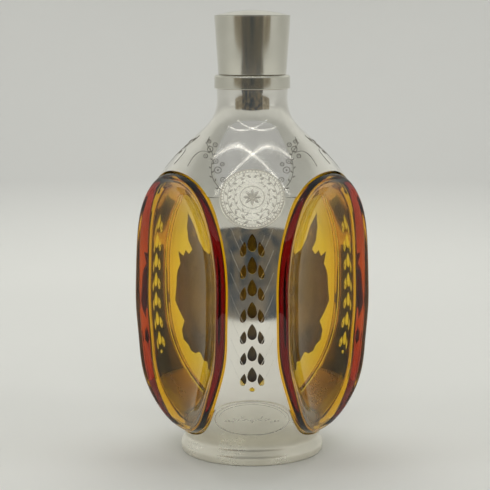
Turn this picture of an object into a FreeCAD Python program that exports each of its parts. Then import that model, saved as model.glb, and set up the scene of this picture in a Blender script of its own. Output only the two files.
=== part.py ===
import FreeCAD, Part
import math
import os

# A three-sided pinch decanter: an amber glass bottle with three pressed dimples, clad in pewter.
# Units are millimetres and +Z is up. The Z axis is the bottle's own axis and the origin is the
# middle of the underside. Azimuths are counted from +X towards +Y. Ridges and dimples alternate.

# ---- driving dimensions ------------------------------------------------------------------------

RIDGES = {"front": 270.0, "right": 30.0, "left": 150.0}
DIMPLE_AZIMUTHS = (90.0, 210.0, 330.0)
REAR_DIMPLE = 90.0

# Outer skin of the cladding as (radius, height): foot, groove, belly, shoulder and neck.
SKIN = [
    (40.9, 1.9), (41.0, 5.2), (39.0, 9.1), (40.8, 13.2), (47.3, 19.7), (54.8, 28.5), (62.2, 42.4),
    (66.4, 61.9), (68.4, 80.2), (68.4, 97.4), (66.8, 121.5), (62.1, 140.5), (53.8, 155.4),
    (42.5, 169.6), (29.3, 182.7), (22.2, 190.7), (19.5, 199.8), (19.7, 207.4),
]
NECK_TOP = 207.4
SHOULDER_TOP = 207.2
UPPER_SEAM = 151.8
LOWER_SEAM = 36.3

# Each metal layer as (inner, outer) distance from the skin, measured along its normal.
SHOULDER_LAYER = (-0.6, 0.4)
STRIP_LAYER = (-0.9, 0.0)
CUP_LAYER = (-1.1, -0.4)
MEDALLION_LAYER = (0.45, 1.05)
PLAQUE_LAYER = (0.05, 0.75)

# The oval window over each dimple, seen along the dimple's axis. Its half-width falls off with the
# share t of the way from the middle to a tip as (1 - t ** a) ** b, with (a, b) for each half.
WINDOW_CENTRE = 90.0
WINDOW_TOP = 163.0
WINDOW_BOTTOM = 13.9
WINDOW_HALF_WIDTH = 51.8
WINDOW_UPPER_POWERS = (2.8, 0.47)
WINDOW_LOWER_POWERS = (2.3, 0.52)

# The glass.
GLASS_GAP = 1.25
GLASS_WALL = 4.0
GLASS_UNDERSIDE = 3.2
GLASS_FLOOR = 10.0
GLASS_FOOT_RADIUS = 36.8
GLASS_NECK_RADIUS = 17.0
GLASS_BORE_RADIUS = 12.0
GLASS_LIP = 214.4
# Outlines as (radius, height): outside below the belly, outside above it, and the hollow's two ends.
GLASS_FOOT_OUTLINE = [(GLASS_FOOT_RADIUS, GLASS_UNDERSIDE), (GLASS_FOOT_RADIUS, 8.5), (38.2, 13.0)]
GLASS_NECK_OUTLINE = [
    (19.4, 191.0), (17.5, 196.5), (17.05, 200.0), (GLASS_NECK_RADIUS, 203.0),
    (GLASS_NECK_RADIUS, 206.0), (GLASS_NECK_RADIUS, 210.0), (GLASS_NECK_RADIUS, GLASS_LIP),
]
HOLLOW_FLOOR_OUTLINE = [(30.0, GLASS_FLOOR), (35.5, 13.5), (39.0, 18.0)]
HOLLOW_NECK_OUTLINE = [(18.0, 185.0), (13.0, 191.5), (GLASS_BORE_RADIUS, 197.0), (GLASS_BORE_RADIUS, 203.0)]
BORE_BOTTOM = 202.0
# The heights between which the glass runs parallel to the skin, outside and inside.
GLASS_BELLY_SPAN = (19.7, 182.0)
HOLLOW_BELLY_SPAN = (25.0, 174.0)
RIM_PROUD = 1.5
RIM_INSET = 0.4
RIM_WIDTH = 4.6
BOSS_START = 38.0
BOWL_AXIS_DISTANCE = 105.0

# Piercing of a ridge strip: a column of seeds with curved drops each side and one dot below.
SEED_COUNT = 7
SEED_TOP = 129.2
SEED_PITCH = 11.87
SEED_SIZE = (5.0, 9.4)
DROP_TOP = 125.7
DROP_PITCH = 11.77
DROP_SIZE = (3.4, 7.9)
DROP_OFFSET = 4.6
DROP_LEAN = 10.0
HOLE_SHRINK = 0.16
DOT_HEIGHT = 49.5
DOT_SIZE = (2.9, 2.4)

MEDALLION_HEIGHT = 151.8
MEDALLION_RADIUS = 17.5
PLAQUE_HEIGHT = 31.0
PLAQUE_SIZE = (42.0, 26.6)

# Collar, stopper and inner pieces.
COLLAR_RADIUS = 21.3
COLLAR_TOP = 214.9
COLLAR_BORE = 17.3
COLLAR_CHAMFER = 0.9
CAP_BOTTOM = 215.2
CAP_BOTTOM_RADIUS = 19.1
CAP_RIM = 247.6
CAP_RIM_RADIUS = 21.3
CAP_TOP = 250.8
CAP_SHEET = 1.2
FILLER_BOTTOM = 215.9
FILLER_GAP = 0.1
CORK_RADIUS = 11.7
CORK_TIP_RADIUS = 11.2
CORK_BOTTOM = 189.9
BUSH_RADII = (17.25, 18.7)
BUSH_SPAN = (200.0, 207.2)
PLATE_RADIUS = 37.3
FOOT_WALL_TOP = 9.6
PLATE_TOP = 1.5
PAD_RADIUS = 36.0

# The ornament on the rear dimple: right half of its outline as (sideways, height), top to bottom.
CREST_HALF = [
    (0.0, 124.0), (5.0, 121.0), (8.0, 113.0), (14.0, 109.5), (21.0, 111.0), (25.5, 117.0),
    (28.0, 125.0), (32.5, 133.0), (34.2, 124.0), (33.6, 116.0), (31.0, 110.6), (33.5, 107.5),
    (35.8, 109.7), (37.5, 106.0), (41.2, 108.4), (39.6, 101.3), (41.8, 97.0), (42.6, 93.9),
    (43.2, 86.0), (44.5, 78.4), (41.0, 72.5), (37.0, 66.5), (39.4, 60.5), (38.4, 54.5),
    (34.4, 51.4), (32.5, 47.6), (28.8, 46.0), (25.5, 47.5), (20.5, 41.0), (16.5, 40.5),
    (12.5, 34.0), (8.5, 33.0), (4.5, 27.5), (0.0, 24.5),
]
CREST_LAYER = (0.15, 1.6)

# Tools that cut: how far out each bar reaches from the axis, and where each kind starts.
REACH = 110.0
WINDOW_BAR_START = 5.0
CREST_BAR_START = 20.0
HOLE_BAR_START = 30.0
HOLE_BAR_LENGTH = 60.0
PLATE_BAR_LENGTH = 24.0
PLATE_MARGIN = 3.0
# Seams of turned faces stay clear of windows and holes; the boss's seam also of the dimple's middle.
SEAM_AZIMUTH = 22.0
BOSS_SEAM_TURN = 90.0
UP = FreeCAD.Vector(0, 0, 1)
CENTRE = FreeCAD.Vector(0, 0, 0)

os.makedirs("parts", exist_ok=True)


# ---- the skin curve ----------------------------------------------------------------------------

def spline(points):
    """A smooth curve through (radius, height) points in the XZ plane."""
    curve = Part.BSplineCurve()
    curve.interpolate([FreeCAD.Vector(radius, 0, height) for radius, height in points])
    return curve


skin_curve = spline(SKIN)


def skin_parameter(height):
    """The skin curve's parameter at a height, found by halving: the curve always climbs."""
    low = skin_curve.FirstParameter
    high = skin_curve.LastParameter
    for _ in range(40):
        middle = 0.5 * (low + high)
        if skin_curve.value(middle).z < height:
            low = middle
        else:
            high = middle
    return low


def skin_normal(parameter):
    """The outward normal (radial, vertical) of the skin."""
    tangent = skin_curve.tangent(parameter)[0]
    length = math.hypot(tangent.x, tangent.z)
    return tangent.z / length, -tangent.x / length


def skin_point(height, offset):
    """A (radius, height) point at an offset along the normal from the skin at a height."""
    parameter = skin_parameter(height)
    point = skin_curve.value(parameter)
    radial, vertical = skin_normal(parameter)
    return point.x + offset * radial, point.z + offset * vertical


def skin_radius(height):
    return skin_curve.value(skin_parameter(height)).x


def offset_points(bottom, top, offset, step=4.0):
    """Evenly spaced points of the offset skin between two heights."""
    count = max(4, round((top - bottom) / step))
    heights = [bottom + (top - bottom) * index / count for index in range(count + 1)]
    return [skin_point(height, offset) for height in heights]


# ---- solids of revolution ----------------------------------------------------------------------

def line(start, end):
    return Part.makeLine(FreeCAD.Vector(start[0], 0, start[1]), FreeCAD.Vector(end[0], 0, end[1]))


def turned(shape, azimuth):
    """A copy of a shape, turned about the Z axis."""
    copy = shape.copy()
    copy.rotate(CENTRE, UP, azimuth)
    return copy


def revolve(edges):
    """Turn a closed chain of edges in the XZ plane about the Z axis.

    The seam of the turned faces is put beside a ridge, away from windows and holes.
    """
    wire = Part.Wire(Part.__sortEdges__(edges))
    return turned(Part.Face(wire).revolve(CENTRE, UP, 360), SEAM_AZIMUTH)


def ring(inner, outer, bottom, top):
    """A plain tube; an inner radius of zero gives a disc."""
    shape = Part.makeCylinder(outer, top - bottom, FreeCAD.Vector(0, 0, bottom))
    if inner > 0:
        shape = shape.cut(Part.makeCylinder(inner, top - bottom, FreeCAD.Vector(0, 0, bottom)))
    return shape


def skin_shell(bottom, top, layer):
    """A sheet that follows the skin between two heights."""
    inner = offset_points(bottom, top, layer[0])
    outer = offset_points(bottom, top, layer[1])
    edges = [
        spline(inner).toShape(),
        spline(outer).toShape(),
        line(inner[0], outer[0]),
        line(inner[-1], outer[-1]),
    ]
    return revolve(edges)


def filled_profile(points):
    """A solid of revolution under a smooth outline, closed flat at its two ends."""
    bottom = (0.0, points[0][1])
    top = (0.0, points[-1][1])
    edges = [
        spline(points).toShape(),
        line(bottom, points[0]),
        line(points[-1], top),
        line(top, bottom),
    ]
    return revolve(edges)


# ---- windows and dimples -----------------------------------------------------------------------

def window_half_width(height, shrink=0.0):
    """Half the window's width at a height, with the whole outline drawn in by shrink."""
    if height >= WINDOW_CENTRE:
        inner, outer = WINDOW_UPPER_POWERS
        reach = WINDOW_TOP - WINDOW_CENTRE - shrink
    else:
        inner, outer = WINDOW_LOWER_POWERS
        reach = WINDOW_CENTRE - WINDOW_BOTTOM - shrink
    share = min(1.0, abs(height - WINDOW_CENTRE) / reach)
    return (WINDOW_HALF_WIDTH - shrink) * (1.0 - share ** inner) ** outer


def window_outline(shrink=0.0, steps=14):
    """The window's outline as (sideways, height) points, once round."""
    quarter = [math.sin(0.5 * math.pi * index / steps) for index in range(steps + 1)]
    up = [WINDOW_CENTRE + share * (WINDOW_TOP - WINDOW_CENTRE - shrink) for share in quarter]
    down = [WINDOW_CENTRE - share * (WINDOW_CENTRE - WINDOW_BOTTOM - shrink) for share in quarter]
    right = [(window_half_width(height, shrink), height) for height in down[::-1] + up[1:]]
    left = [(-side, height) for side, height in right[-2:0:-1]]
    return right + left


def prism(outline, start, end, smooth=True):
    """A bar on the +X side with a (sideways, height) outline, from one distance to another."""
    points = [FreeCAD.Vector(start, side, height) for side, height in outline]
    if smooth:
        curve = Part.BSplineCurve()
        curve.interpolate(points, PeriodicFlag=True)
        wire = Part.Wire(curve.toShape())
    else:
        wire = Part.makePolygon(points + points[:1])
    return Part.Face(wire).extrude(FreeCAD.Vector(end - start, 0, 0))


def bowl(growth=0.0):
    """The pressing tool of one dimple: a barrel about a vertical axis outside the bottle.

    Its radius at each height makes it leave the glass on the window's outline, drawn in by the
    width of the rim. Growth thickens the barrel, as for the inner wall.
    """
    top = WINDOW_TOP - RIM_WIDTH
    bottom = WINDOW_BOTTOM + RIM_WIDTH
    steps = 16
    points = []
    for index in range(steps + 1):
        height = 0.5 * (top + bottom) - 0.5 * (top - bottom) * math.cos(math.pi * index / steps)
        side = window_half_width(height, RIM_WIDTH)
        radius = skin_radius(height) + RIM_PROUD
        front = math.sqrt(radius ** 2 - side ** 2)
        points.append((math.hypot(BOWL_AXIS_DISTANCE - front, side) + growth, height))
    points = smooth_ends(points)
    barrel = filled_profile(points)
    barrel.translate(FreeCAD.Vector(BOWL_AXIS_DISTANCE, 0, 0))
    return barrel


def smooth_ends(points):
    """Carry a barrel's outline straight on past both ends, clear of the bottle."""
    first, second = points[0], points[1]
    last, before = points[-1], points[-2]
    start = (2 * first[0] - second[0], 2 * first[1] - second[1])
    finish = (2 * last[0] - before[0], 2 * last[1] - before[1])
    return [start] + points + [finish]


# ---- the glass bottle --------------------------------------------------------------------------

def glass_outer():
    """The bottle's outside: a turned body with a low boss in each window, pressed in by the bowls."""
    belly = offset_points(GLASS_BELLY_SPAN[0], GLASS_BELLY_SPAN[1], -GLASS_GAP)
    body = filled_profile(GLASS_FOOT_OUTLINE + belly + GLASS_NECK_OUTLINE)
    proud_skin = filled_profile(offset_points(WINDOW_BOTTOM - 2.0, WINDOW_TOP + 4.0, RIM_PROUD))
    window_bar = prism(window_outline(RIM_INSET), BOSS_START, REACH)
    boss = turned(proud_skin, BOSS_SEAM_TURN).common(window_bar)
    for azimuth in DIMPLE_AZIMUTHS:
        body = body.fuse(turned(boss, azimuth))
    for azimuth in DIMPLE_AZIMUTHS:
        body = body.cut(turned(bowl(), azimuth))
    return body


def glass_cavity():
    """The space for the drink, with the neck's straight bore open at the lip."""
    inset = -(GLASS_GAP + GLASS_WALL)
    belly = offset_points(HOLLOW_BELLY_SPAN[0], HOLLOW_BELLY_SPAN[1], inset)
    hollow = filled_profile(HOLLOW_FLOOR_OUTLINE + belly + HOLLOW_NECK_OUTLINE)
    for azimuth in DIMPLE_AZIMUTHS:
        hollow = hollow.cut(turned(bowl(GLASS_WALL), azimuth))
    start = FreeCAD.Vector(0, 0, BORE_BOTTOM)
    return hollow.fuse(Part.makeCylinder(GLASS_BORE_RADIUS, GLASS_LIP - BORE_BOTTOM, start))


def glass_bottle():
    return glass_outer().cut(glass_cavity())


# ---- the cladding ------------------------------------------------------------------------------

def cut_windows(shape):
    bar = prism(window_outline(), WINDOW_BAR_START, REACH)
    return shape.cut([turned(bar, azimuth) for azimuth in DIMPLE_AZIMUTHS])


def on_azimuth(shapes, azimuth):
    """The one of several solids whose centre lies nearest to an azimuth."""
    direction = FreeCAD.Vector(math.cos(math.radians(azimuth)), math.sin(math.radians(azimuth)), 0)
    return max(shapes, key=lambda solid: solid.CenterOfMass.dot(direction))


def seed(width, height, middle, side=0.0, lean=0.0):
    """A seed-shaped hole with its point up: (sideways, height) points about its middle."""
    half = [(0.0, 0.5), (0.24, 0.3), (0.44, 0.06), (0.5, -0.14), (0.38, -0.36), (0.0, -0.5)]
    shape = half + [(-across, along) for across, along in half[-2:0:-1]]
    turn = math.radians(lean)
    points = []
    for across, along in shape:
        x = across * width
        z = along * height
        points.append((side + x * math.cos(turn) - z * math.sin(turn),
                       middle + x * math.sin(turn) + z * math.cos(turn)))
    return points


def hole_bar(points):
    """A bar through a strip with a pointed seed outline: two smooth sides from tip to tip."""
    places = [FreeCAD.Vector(HOLE_BAR_START, side, height) for side, height in points]
    curve = Part.BSplineCurve()
    curve.interpolate(places + places[:1])
    return Part.Face(Part.Wire(curve.toShape())).extrude(FreeCAD.Vector(HOLE_BAR_LENGTH, 0, 0))


def oval_bar(size, start, length, height):
    """A bar along +X with an oval outline, (width, height) in size."""
    oval = Part.Ellipse(CENTRE, size[0] / 2, size[1] / 2).toShape()
    oval.rotate(CENTRE, FreeCAD.Vector(1, 1, 1), 120)
    oval.translate(FreeCAD.Vector(start, 0, height))
    return Part.Face(Part.Wire(oval)).extrude(FreeCAD.Vector(length, 0, 0))


def piercing():
    """The bars that cut one strip's holes; each row down is a little shorter than the last."""
    bars = []
    for row in range(SEED_COUNT):
        less = HOLE_SHRINK * row
        middle = SEED_TOP - SEED_PITCH * row
        bars.append(hole_bar(seed(SEED_SIZE[0], SEED_SIZE[1] - less, middle)))
        for hand in (-1, 1):
            middle = DROP_TOP - DROP_PITCH * row
            drop = seed(DROP_SIZE[0], DROP_SIZE[1] - less, middle, hand * DROP_OFFSET, hand * DROP_LEAN)
            bars.append(hole_bar(drop))
    bars.append(oval_bar(DOT_SIZE, HOLE_BAR_START, HOLE_BAR_LENGTH, DOT_HEIGHT))
    return bars


def ridge_strips():
    band = cut_windows(skin_shell(LOWER_SEAM, UPPER_SEAM, STRIP_LAYER))
    bars = piercing()
    strips = {}
    for side, azimuth in RIDGES.items():
        blank = on_azimuth(band.Solids, azimuth)
        strips["ridge_strip_" + side] = blank.cut([turned(bar, azimuth) for bar in bars])
    return strips


def applied_plate(middle, layer, outline_bar, margin):
    """A thin plate that lies on the skin, cut out by a bar standing square to the skin."""
    sheet = skin_shell(middle - margin, middle + margin, layer)
    parameter = skin_parameter(middle)
    radial, vertical = skin_normal(parameter)
    bar = outline_bar.copy()
    bar.rotate(CENTRE, FreeCAD.Vector(0, 1, 0), -math.degrees(math.atan2(vertical, radial)))
    bar.translate(skin_curve.value(parameter))
    return sheet.common(bar)


def medallion():
    across = 2 * MEDALLION_RADIUS
    bar = oval_bar((across, across), -PLATE_BAR_LENGTH / 2, PLATE_BAR_LENGTH, 0.0)
    return applied_plate(MEDALLION_HEIGHT, MEDALLION_LAYER, bar, MEDALLION_RADIUS + PLATE_MARGIN)


def plaque():
    bar = oval_bar(PLAQUE_SIZE, -PLATE_BAR_LENGTH / 2, PLATE_BAR_LENGTH, 0.0)
    return applied_plate(PLAQUE_HEIGHT, PLAQUE_LAYER, bar, PLAQUE_SIZE[1] / 2 + PLATE_MARGIN)


def base_cup():
    """The cup up to the lower seam: thin above the groove, thick at its foot, open underneath."""
    inner = offset_points(FOOT_WALL_TOP, LOWER_SEAM, CUP_LAYER[0], 3.0)
    outer = offset_points(SKIN[0][1], LOWER_SEAM, CUP_LAYER[1], 3.0)
    edge, foot = outer[0]
    bulge = foot * (1 - math.sqrt(0.5))
    corner = Part.Arc(
        FreeCAD.Vector(edge, 0, foot),
        FreeCAD.Vector(edge - bulge, 0, bulge),
        FreeCAD.Vector(edge - foot, 0, 0),
    ).toShape()
    edges = [spline(inner).toShape(), spline(outer).toShape(), corner]
    edges.append(line((edge - foot, 0.0), (PLATE_RADIUS, 0.0)))
    edges.append(line((PLATE_RADIUS, 0.0), (PLATE_RADIUS, FOOT_WALL_TOP)))
    edges.append(line((PLATE_RADIUS, FOOT_WALL_TOP), inner[0]))
    edges.append(line(inner[-1], outer[-1]))
    return cut_windows(revolve(edges))


# ---- stopper -----------------------------------------------------------------------------------

def cap_radius(height):
    share = (height - CAP_BOTTOM) / (CAP_RIM - CAP_BOTTOM)
    return CAP_BOTTOM_RADIUS + share * (CAP_RIM_RADIUS - CAP_BOTTOM_RADIUS)


def cone(bottom, top, inset):
    low = cap_radius(bottom) - inset
    high = cap_radius(top) - inset
    return Part.makeCone(low, high, top - bottom, FreeCAD.Vector(0, 0, bottom))


def cap_wall():
    return cone(CAP_BOTTOM, CAP_RIM, 0.0).cut(cone(CAP_BOTTOM, CAP_RIM, CAP_SHEET))


def cap_top():
    """A domed disc soldered on the wall's upper rim."""
    rise = CAP_TOP - CAP_RIM
    dome = (CAP_RIM_RADIUS ** 2 + rise ** 2) / (2 * rise)
    middle = FreeCAD.Vector(0, 0, CAP_TOP - dome)
    shell = Part.makeSphere(dome, middle).cut(Part.makeSphere(dome - CAP_SHEET, middle))
    return shell.common(Part.makeCylinder(CAP_RIM_RADIUS, 2 * rise, FreeCAD.Vector(0, 0, CAP_RIM)))


def cork_stopper():
    length = FILLER_BOTTOM - CORK_BOTTOM
    return Part.makeCone(CORK_TIP_RADIUS, CORK_RADIUS, length, FreeCAD.Vector(0, 0, CORK_BOTTOM))


def neck_collar():
    collar = ring(COLLAR_BORE, COLLAR_RADIUS, NECK_TOP, COLLAR_TOP)
    rims = [edge for edge in collar.Edges if abs(edge.BoundBox.XLength - 2 * COLLAR_RADIUS) < 0.01]
    rims = [edge for edge in rims if edge.BoundBox.ZLength < 0.01]
    return collar.makeChamfer(COLLAR_CHAMFER, rims)


# ---- rear ornament -----------------------------------------------------------------------------

def crest_applique():
    """A pierced-out ornament that follows the rear bowl, just clear of the glass."""
    outline = CREST_HALF + [(-side, height) for side, height in CREST_HALF[-2:0:-1]]
    bar = prism(outline, CREST_BAR_START, REACH, smooth=False)
    near = bowl(-CREST_LAYER[0])
    far = bowl(-CREST_LAYER[1])
    return turned(near.common(bar).cut(far), REAR_DIMPLE)


# ---- the whole decanter ------------------------------------------------------------------------

def whole_decanter():
    nodes = {
        "glass_bottle": glass_bottle(),
        "shoulder_shell": cut_windows(skin_shell(UPPER_SEAM, SHOULDER_TOP, SHOULDER_LAYER)),
        "base_cup": base_cup(),
        "base_plate": ring(0.0, PLATE_RADIUS, 0.0, PLATE_TOP),
        "seat_pad": ring(0.0, PAD_RADIUS, PLATE_TOP, GLASS_UNDERSIDE),
        "neck_bush": ring(BUSH_RADII[0], BUSH_RADII[1], BUSH_SPAN[0], BUSH_SPAN[1]),
        "neck_collar": neck_collar(),
        "crest_applique": crest_applique(),
        "cap_wall": cap_wall(),
        "cap_top": cap_top(),
        "cap_filler": cone(FILLER_BOTTOM, CAP_RIM, CAP_SHEET + FILLER_GAP),
        "cork_stopper": cork_stopper(),
    }
    nodes.update(ridge_strips())
    for side, azimuth in RIDGES.items():
        nodes["medallion_" + side] = turned(medallion(), azimuth)
        nodes["plaque_" + side] = turned(plaque(), azimuth)
    return nodes


for name, shape in whole_decanter().items():
    print(name, "valid", shape.isValid(), "solids", len(shape.Solids), "volume", round(shape.Volume, 1))
    shape.exportStep("parts/" + name + ".step")
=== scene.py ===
import bpy
import bmesh
import math
import numpy as np
from mathutils import Matrix, Vector


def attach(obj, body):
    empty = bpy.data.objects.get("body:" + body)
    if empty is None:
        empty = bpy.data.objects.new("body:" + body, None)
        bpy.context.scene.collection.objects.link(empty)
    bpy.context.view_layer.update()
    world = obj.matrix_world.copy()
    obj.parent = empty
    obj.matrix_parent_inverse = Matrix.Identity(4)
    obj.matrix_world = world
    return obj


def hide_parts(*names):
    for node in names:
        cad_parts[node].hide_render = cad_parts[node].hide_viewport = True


# A pinch decanter: amber glass with three dimples, clad in pierced pewter. The script works in
# millimetres and the meshes are scaled to metres when they are made.

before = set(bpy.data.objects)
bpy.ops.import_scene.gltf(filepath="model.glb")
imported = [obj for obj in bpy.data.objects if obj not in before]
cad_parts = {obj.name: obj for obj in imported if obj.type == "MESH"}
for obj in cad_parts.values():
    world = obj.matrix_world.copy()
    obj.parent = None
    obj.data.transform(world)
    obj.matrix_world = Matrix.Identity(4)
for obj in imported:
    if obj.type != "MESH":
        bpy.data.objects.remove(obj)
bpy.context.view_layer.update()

MM = 0.001
FRONT, RIGHT, LEFT = 270.0, 30.0, 150.0
RIDGES = {"front": FRONT, "right": RIGHT, "left": LEFT}
DIMPLES = (90.0, 210.0, 330.0)

# The skin that every metal layer follows, as (radius, height), the same as in the design.
SKIN = [
    (40.9, 1.9), (41.0, 5.2), (39.0, 9.1), (40.8, 13.2), (47.3, 19.7), (54.8, 28.5), (62.2, 42.4),
    (66.4, 61.9), (68.4, 80.2), (68.4, 97.4), (66.8, 121.5), (62.1, 140.5), (53.8, 155.4),
    (42.5, 169.6), (29.3, 182.7), (22.2, 190.7), (19.5, 199.8), (19.7, 207.4),
]
SHOULDER_LAYER = (-0.6, 0.4)
STRIP_LAYER = (-0.9, 0.0)
CUP_LAYER = (-1.1, -0.4)
UPPER_SEAM, LOWER_SEAM, SHOULDER_TOP, NECK_TOP = 151.8, 36.3, 207.2, 207.4
PLAQUE_HEIGHT, SCROLL_HEIGHT = 31.0, 156.0
PLATE_HOLE_RADIUS = 37.35
FOOT_ROUND, FOOT_WALL_TOP, FOOT_WALL_LEDGE = 1.9, 9.6, 10.0

WINDOW_CENTRE, WINDOW_TOP, WINDOW_BOTTOM = 90.0, 163.0, 13.9
WINDOW_HALF_WIDTH = 51.8
WINDOW_UPPER_POWERS = (2.8, 0.47)
WINDOW_LOWER_POWERS = (2.3, 0.52)

GLASS_GAP, GLASS_WALL = 1.25, 4.0
GLASS_LIP, GLASS_NECK_RADIUS, GLASS_BORE_RADIUS = 214.4, 17.0, 12.0
RIM_PROUD, RIM_WIDTH, RIM_BLEND = 1.5, 4.6, 9.0
BOWL_AXIS_DISTANCE = 105.0


# ---- curves --------------------------------------------------------------------------------------

def natural_spline(knots, values, places):
    """Values at places of the natural cubic spline through the knots."""
    knots, values = np.asarray(knots, float), np.asarray(values, float)
    step = np.diff(knots)
    count = len(knots)
    matrix = np.eye(count)
    side = np.zeros(count)
    slope = np.diff(values) / step
    for i in range(1, count - 1):
        matrix[i, i - 1:i + 2] = step[i - 1], 2 * (step[i - 1] + step[i]), step[i]
        side[i] = 6 * (slope[i] - slope[i - 1])
    bend = np.linalg.solve(matrix, side)
    k = np.clip(np.searchsorted(knots, places) - 1, 0, count - 2)
    left, right, width = places - knots[k], knots[k + 1] - places, step[k]
    return ((bend[k] * right ** 3 + bend[k + 1] * left ** 3) / (6 * width)
            + (values[k] / width - bend[k] * width / 6) * right
            + (values[k + 1] / width - bend[k + 1] * width / 6) * left)


def smooth_curve(points, samples=1200):
    """Evenly sampled (radius, height) rows on a smooth curve through the points."""
    points = np.asarray(points, float)
    chord = np.concatenate([[0.0], np.cumsum(np.hypot(*np.diff(points, axis=0).T))])
    places = np.linspace(0.0, chord[-1], samples)
    return np.stack([natural_spline(chord, points[:, i], places) for i in (0, 1)], axis=1)


skin_rows = smooth_curve(SKIN, 4000)
skin_along = np.gradient(skin_rows, axis=0)
skin_along /= np.linalg.norm(skin_along, axis=1)[:, None]
skin_out = np.stack([skin_along[:, 1], -skin_along[:, 0]], axis=1)


def skin(height, offset=0.0):
    """The radius at a height of the skin moved out by an offset along its normal."""
    moved = skin_rows + offset * skin_out
    return np.interp(height, moved[:, 1], moved[:, 0])


def skin_normal(height):
    radial = np.interp(height, skin_rows[:, 1], skin_out[:, 0])
    upward = np.interp(height, skin_rows[:, 1], skin_out[:, 1])
    return radial, upward


def window_half_width(height, shrink=0.0):
    height = np.asarray(height, float)
    up = height >= WINDOW_CENTRE
    reach = np.where(up, WINDOW_TOP - WINDOW_CENTRE, WINDOW_CENTRE - WINDOW_BOTTOM) - shrink
    share = np.clip(np.abs(height - WINDOW_CENTRE) / reach, 0.0, 1.0)
    inner = np.where(up, WINDOW_UPPER_POWERS[0], WINDOW_LOWER_POWERS[0])
    outer = np.where(up, WINDOW_UPPER_POWERS[1], WINDOW_LOWER_POWERS[1])
    return (WINDOW_HALF_WIDTH - shrink) * (1.0 - share ** inner) ** outer


def turn(points, degrees):
    """Points turned about the Z axis."""
    a = math.radians(degrees)
    spin = np.array([[math.cos(a), math.sin(a), 0], [-math.sin(a), math.cos(a), 0], [0, 0, 1]])
    return np.asarray(points) @ spin


# ---- meshes --------------------------------------------------------------------------------------

def make_piece(name, verts, faces, material, body, node=None, sharp=35.0, azimuth=None):
    """A piece from points in millimetres: cleaned, smooth but for its sharp edges, and riding.

    With an azimuth, the points are about the front ridge. They are kept as a flat map of
    (sideways, height) and then turned to the azimuth.
    """
    mesh = bpy.data.meshes.new(name)
    mesh.from_pydata((np.asarray(verts) * MM).tolist(), [], faces)
    tidy_mesh(mesh, sharp)
    if azimuth is not None:
        sheet = mesh.uv_layers.new(name="sheet")
        for loop in mesh.loops:
            spot = mesh.vertices[loop.vertex_index].co
            sheet.data[loop.index].uv = (spot.x, spot.z)
        mesh.transform(Matrix.Rotation(math.radians(azimuth - FRONT), 4, "Z"))
    piece = bpy.data.objects.new(name, mesh)
    bpy.context.scene.collection.objects.link(piece)
    mesh.materials.append(material)
    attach(piece, body)
    if node:
        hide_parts(node)
    return piece


def tidy_mesh(mesh, sharp):
    work = bmesh.new()
    work.from_mesh(mesh)
    bmesh.ops.remove_doubles(work, verts=work.verts, dist=1e-6)
    bmesh.ops.dissolve_degenerate(work, dist=1e-7, edges=work.edges)
    bmesh.ops.recalc_face_normals(work, faces=work.faces)
    limit = math.radians(sharp)
    for face in work.faces:
        face.smooth = True
    for edge in work.edges:
        edge.smooth = len(edge.link_faces) == 2 and edge.calc_face_angle(0.0) < limit
    work.to_mesh(mesh)
    work.free()


def grid_faces(rows, columns, start=0, closed=False):
    """Quads of a grid whose points are stored row by row."""
    faces = []
    last = columns if closed else columns - 1
    for i in range(rows - 1):
        for j in range(last):
            k = (j + 1) % columns
            a, b = start + i * columns, start + (i + 1) * columns
            faces.append((a + j, a + k, b + k, b + j))
    return faces


def lathe(outline, columns=192):
    """A closed (radius, height) outline turned about the Z axis. A radius of 0 closes a pole."""
    outline = np.asarray(outline, float)
    angle = np.linspace(0, 2 * math.pi, columns, endpoint=False)
    verts = []
    for radius, height in outline:
        level = np.full(columns, height)
        verts.extend(np.stack([radius * np.cos(angle), radius * np.sin(angle), level], axis=1))
    faces = grid_faces(len(outline), columns, closed=True)
    return np.array(verts), faces


def rounded(corners, radius, steps=5):
    """A (radius, height) chain of corners with each inner corner replaced by a small arc."""
    corners = [np.asarray(c, float) for c in corners]
    chain = [corners[0]]
    for before, corner, after in zip(corners, corners[1:], corners[2:]):
        a, b = before - corner, after - corner
        reach = min(radius, 0.45 * np.linalg.norm(a), 0.45 * np.linalg.norm(b))
        a, b = corner + a / np.linalg.norm(a) * reach, corner + b / np.linalg.norm(b) * reach
        for t in np.linspace(0, 1, steps):
            chain.append((1 - t) ** 2 * a + 2 * t * (1 - t) * corner + t * t * b)
    chain.append(corners[-1])
    return chain


# ---- metal cladding ------------------------------------------------------------------------------

def clad_grid(heights, offset, columns):
    """Points of one layer over a 120 degree sector about the front ridge, up to the windows."""
    radius = skin(heights, offset)
    inside = (heights > WINDOW_BOTTOM) & (heights < WINDOW_TOP)
    side = np.where(inside, window_half_width(heights), 0.0)
    half = math.radians(60) - np.arcsin(side / radius)
    across = np.linspace(-1, 1, columns)
    angle = math.radians(FRONT) + half[:, None] * across[None, :]
    x, y = radius[:, None] * np.cos(angle), radius[:, None] * np.sin(angle)
    z = np.repeat(heights[:, None], columns, axis=1)
    return np.stack([x, y, z], axis=2)


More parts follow.
